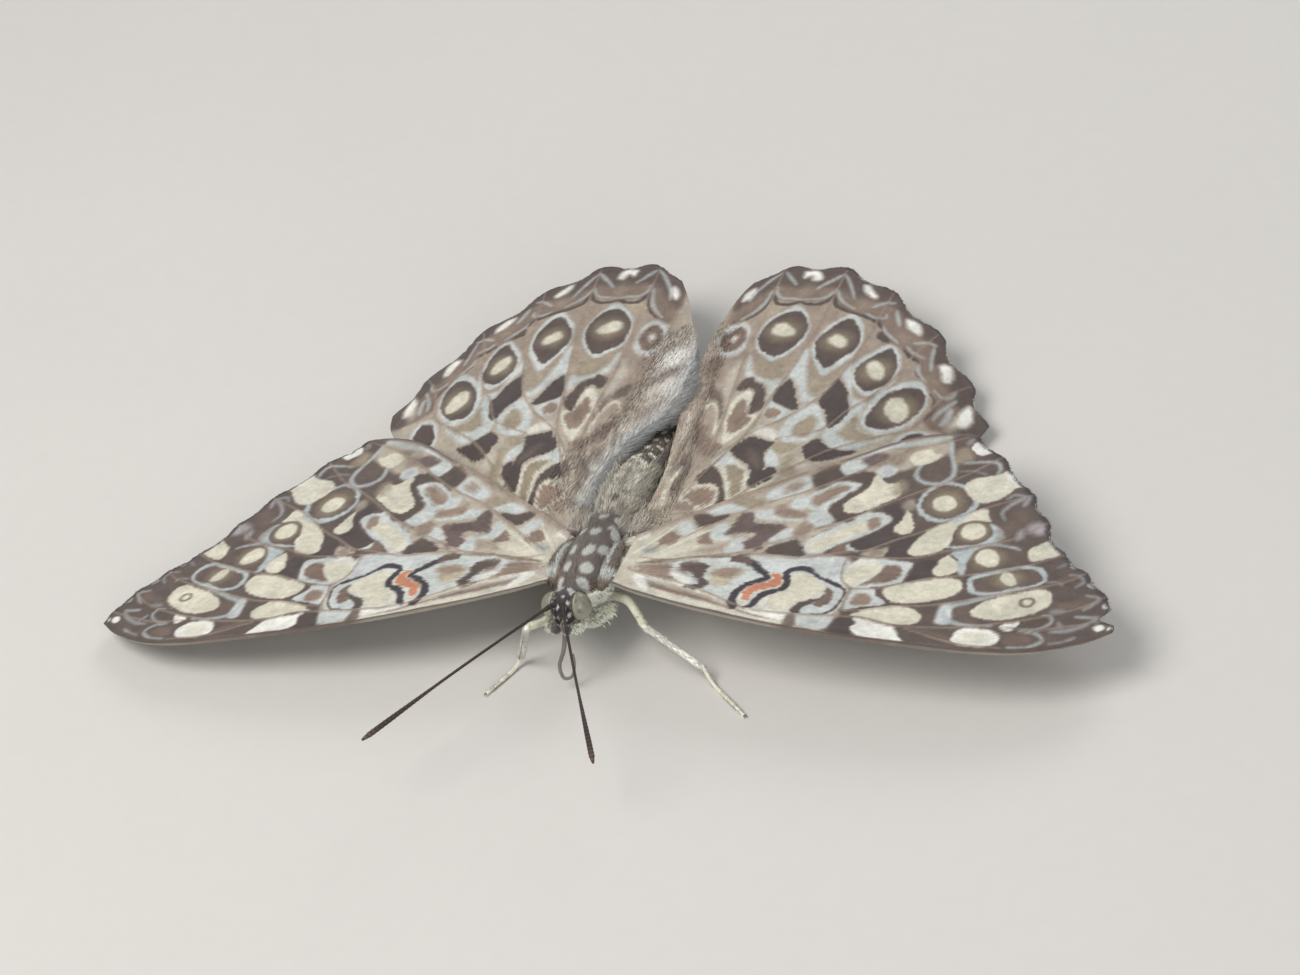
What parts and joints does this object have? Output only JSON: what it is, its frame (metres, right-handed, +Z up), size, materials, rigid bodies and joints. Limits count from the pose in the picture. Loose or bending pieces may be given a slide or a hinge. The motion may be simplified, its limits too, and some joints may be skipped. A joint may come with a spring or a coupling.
{
  "type": "variable cracker butterfly",
  "caption": "Life-size still model of a variable cracker butterfly resting with its patterned wings spread flat.",
  "frame": {"origin": "on the floor, under the middle of the whole insect's bounding box", "axes": "+Z up from the floor, head and feelers towards -Y, hind wings towards +Y, the insect's own left side towards +X"},
  "size_m": [0.0768, 0.0572, 0.007],
  "materials": {
    "wing": "fine matt scales with a faint silky sheen",
    "body": "short soft hair, dark brown with pale spots",
    "eye": "smooth satin gloss",
    "antenna": "satin, finely ringed",
    "proboscis": "satin, slightly clear",
    "leg": "matt, finely scaled and spined"
  },
  "bodies": {
    "root": {"head": "body", "prothorax": "body", "thorax": "body", "abdomen_front": "body", "abdomen_middle": "body", "abdomen_rear": "body", "palp_left": "body", "palp_right": "body", "eye_left": "eye", "eye_right": "eye", "antenna_left": "antenna", "antenna_right": "antenna", "proboscis": "proboscis", "forewing_left": "wing", "forewing_right": "wing", "hindwing_left": "wing", "hindwing_right": "wing", "foreleg_left": "leg", "foreleg_right": "leg", "midleg_left": "leg", "midleg_right": "leg", "hindleg_left": "leg", "hindleg_right": "leg"}
  },
  "joints": []
}
